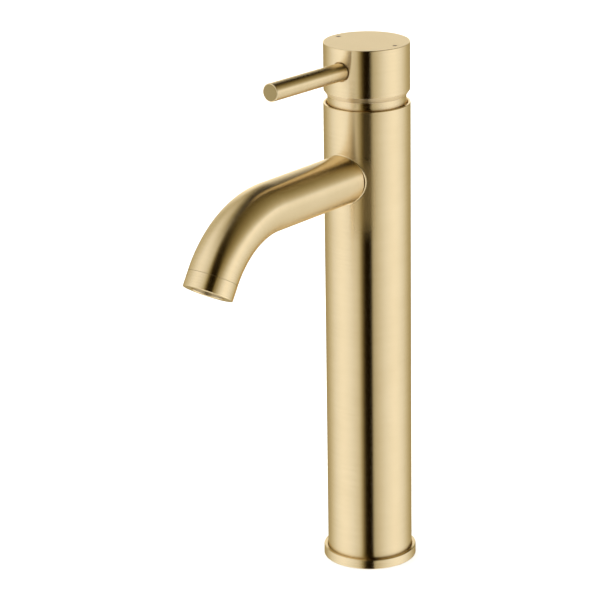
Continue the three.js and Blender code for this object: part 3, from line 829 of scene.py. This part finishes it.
# The studio round the mixer, as brightness by bearing and height in degrees. Bearing 0 is the camera's
# side and +90 the camera's right; height 0 is level and +90 straight up.
PANEL_BEARING = 75
PANEL_SPREAD = 80
PANEL_LIGHT = 0.74
ROOM_LIGHT = 0.44
BENCH_LIGHT = 0.9
BACKDROP_LIGHT = 1.15
DARKEST = 0.008
RIGHT_EDGE = 0.14  # the steepness at which the right panel begins to fall off
RIGHT_FALL = 4.0  # how fast it falls off
RIGHT_REST = 0.04  # what is left of it straight up
SLIT_BEARING = -3
SLIT_FOOT = -20
SLIT_LEAN = 0.5  # degrees to the right for each degree of height above SLIT_FOOT
SLIT_WIDENING = 0.022  # of its left half, as a share for each of those degrees
SLIT_NARROWING = 0.2  # of its right half, in degrees for each of those degrees


def side_panels(nodes, right, up, side, height, on_left):
    """A soft panel on each side, and a bench under them. The left panel reaches the higher."""
    levelness = nodes.math("SQRT", nodes.minus(1.0, nodes.times(up, up)))
    from_panel = nodes.times(nodes.magnitude(nodes.minus(side, PANEL_BEARING)), levelness)
    glow = nodes.plus(nodes.fade(from_panel, 0, PANEL_SPREAD, PANEL_LIGHT, 0), ROOM_LIGHT)
    bench = nodes.fade(height, -75, -45, BENCH_LIGHT, 0)
    left_reach = nodes.fade(height, 42, 100, 1, 0)
    steepness = nodes.math("DIVIDE", up, nodes.at_least(nodes.magnitude(right), 0.02))
    above_edge = nodes.at_least(nodes.minus(steepness, RIGHT_EDGE), 0.0)
    fall = nodes.plus(nodes.times(above_edge, RIGHT_FALL), 1.0)
    right_reach = nodes.plus(nodes.math("DIVIDE", 1 - RIGHT_REST, fall), RIGHT_REST)
    right_reach = nodes.times(right_reach, nodes.fade(height, -18, 2, 1, 1.12))
    reach = nodes.plus(right_reach, nodes.times(on_left, nodes.minus(left_reach, right_reach)))
    return nodes.times(nodes.plus(glow, bench), reach)


def outside_dark_corner(nodes, bearing, height):
    """0 in a dark corner high up behind the right panel, 1 elsewhere."""
    dark_corner = nodes.times(nodes.fade(bearing, 118, 142), nodes.fade(height, 10, 32))
    return nodes.minus(1.0, dark_corner)


def outside_slit(nodes, bearing, height):
    """0 in the dark slit between the panels at the camera's side, which leans right, 1 elsewhere."""
    above_foot = nodes.at_least(nodes.minus(height, SLIT_FOOT), 0.0)
    middle = nodes.times(above_foot, SLIT_LEAN)
    from_slit = nodes.minus(nodes.minus(bearing, middle), SLIT_BEARING)
    widening = nodes.plus(nodes.times(above_foot, SLIT_WIDENING), 1.0)
    past_left_edge = nodes.fade(nodes.math("DIVIDE", from_slit, widening), -27, -6)
    narrowing = nodes.times(above_foot, SLIT_NARROWING)
    before_right_edge = nodes.fade(nodes.plus(from_slit, narrowing), 11, 15, 1, 0)
    return nodes.minus(1.0, nodes.times(past_left_edge, before_right_edge))


def backdrop(nodes, side, height, on_left):
    """The bright wall behind the mixer, with a faint glow further round on the left."""
    round_left = nodes.times(on_left, nodes.fade(side, 110, 140, 0, 0.12))
    behind = nodes.plus(nodes.fade(side, 155, 170), round_left)
    above_floor = nodes.fade(height, -12, 0)
    below_ceiling = nodes.fade(height, 20, 34, 1, 0)
    return nodes.times(nodes.times(behind, BACKDROP_LIGHT), nodes.times(above_floor, below_ceiling))


def warmer_where_dark(nodes, light):
    """White light that turns orange as it gets dim, as it does after more than one reflection in brass."""
    shade = nodes.math("MINIMUM", light, 1.0)
    tint = nodes.add("ShaderNodeCombineColor")
    tint.inputs["Red"].default_value = 1.0
    nodes.link(nodes.math("POWER", shade, 0.15), tint.inputs["Green"])
    nodes.link(nodes.math("POWER", shade, 0.7), tint.inputs["Blue"])
    return tint.outputs[0]


def studio_world():
    """What the metal reflects: panels at the sides, a dark slit at the camera and a bright backdrop."""
    world = bpy.data.worlds.new("studio")
    bpy.context.scene.world = world
    nodes = Nodes(world)
    turn = nodes.add("ShaderNodeVectorRotate", rotation_type="Z_AXIS")
    turn.inputs["Angle"].default_value = -CAMERA_AZIMUTH
    nodes.link(nodes.add("ShaderNodeTexCoord").outputs["Generated"], turn.inputs["Vector"])
    right, away, up = nodes.split(turn.outputs[0])
    degrees = 180 / math.pi
    bearing = nodes.times(nodes.math("ARCTAN2", right, nodes.times(away, -1.0)), degrees)
    height = nodes.times(nodes.math("ARCSINE", up), degrees)
    side = nodes.magnitude(bearing)
    on_left = nodes.fade(right, -0.25, -0.05, 0.92, 0)  # nearly 1 on the camera's left, 0 on its right

    light = side_panels(nodes, right, up, side, height, on_left)
    light = nodes.times(light, outside_dark_corner(nodes, bearing, height))
    light = nodes.times(light, outside_slit(nodes, bearing, height))
    light = nodes.plus(nodes.plus(light, backdrop(nodes, side, height, on_left)), DARKEST)

    background = nodes.add("ShaderNodeBackground")
    nodes.link(warmer_where_dark(nodes, light), background.inputs["Color"])
    nodes.link(light, background.inputs["Strength"])
    output = nodes.add("ShaderNodeOutputWorld")
    nodes.link(background.outputs[0], output.inputs["Surface"])


def pale_floor():
    """A matt white with very faint clouds."""
    nodes = Nodes(bpy.data.materials.new("pale_floor"))
    shader = nodes.principled(roughness=0.9)
    shader.inputs["Specular IOR Level"].default_value = 0.1
    cloud = nodes.remap(nodes.noise(nodes.place(), 3.0), 0.3, 0.7)
    colour = nodes.mix(cloud, (0.90, 0.90, 0.89), (0.93, 0.93, 0.925))
    nodes.link(colour, shader.inputs["Base Color"])
    nodes.surface(shader)
    return nodes.owner


def stage_floor():
    """A round pale floor that curves up into a pale wall, kept out of the metal's reflections."""
    wall_r = 7.0
    wall_top = 6.0
    cove = 2.5
    cove_steps = 12
    sides = 96
    outline = []
    for step in range(cove_steps + 1):
        turn = math.pi / 2 * step / cove_steps
        outline.append((wall_r - cove + cove * math.sin(turn), cove * (1 - math.cos(turn))))
    outline.append((wall_r, wall_top))
    mesh = bmesh.new()
    rings = []
    for radius, height in outline:
        ring = []
        for side in range(sides):
            turn = 2 * math.pi * side / sides
            ring.append(mesh.verts.new((radius * math.cos(turn), radius * math.sin(turn), height)))
        rings.append(ring)
    mesh.faces.new(rings[0])
    for lower, upper in zip(rings, rings[1:]):
        for side in range(sides):
            after = (side + 1) % sides
            mesh.faces.new([lower[side], upper[side], upper[after], lower[after]])
    floor = mesh_object("floor", mesh)
    smooth(floor)
    floor.data.materials.append(pale_floor())
    floor.visible_glossy = False


def overhead_light():
    """A large overhead softbox that lights the floor and stays out of the metal's reflections."""
    data = bpy.data.lights.new("overhead", "AREA")
    data.shape = "SQUARE"
    data.size = 6.0
    data.energy = 390
    made = new_object("overhead", data)
    made.location = (0, 0, 4.5)
    made.visible_glossy = False
    made.visible_camera = False


def studio():
    camera()
    studio_world()
    stage_floor()
    overhead_light()
    bpy.context.scene.view_settings.view_transform = "Standard"


# ---- Everything -------------------------------------------------------------------------------

studio()
finish_inner_nodes()
column()
base_ring()
spout()
spout_fillet()
aerator_housing()
aerator_insert()
handle()
lever()
grub_screw()
mark("hot_dot", "hot_mark", -MARK_X)
mark("cold_dot", "cold_mark", MARK_X)
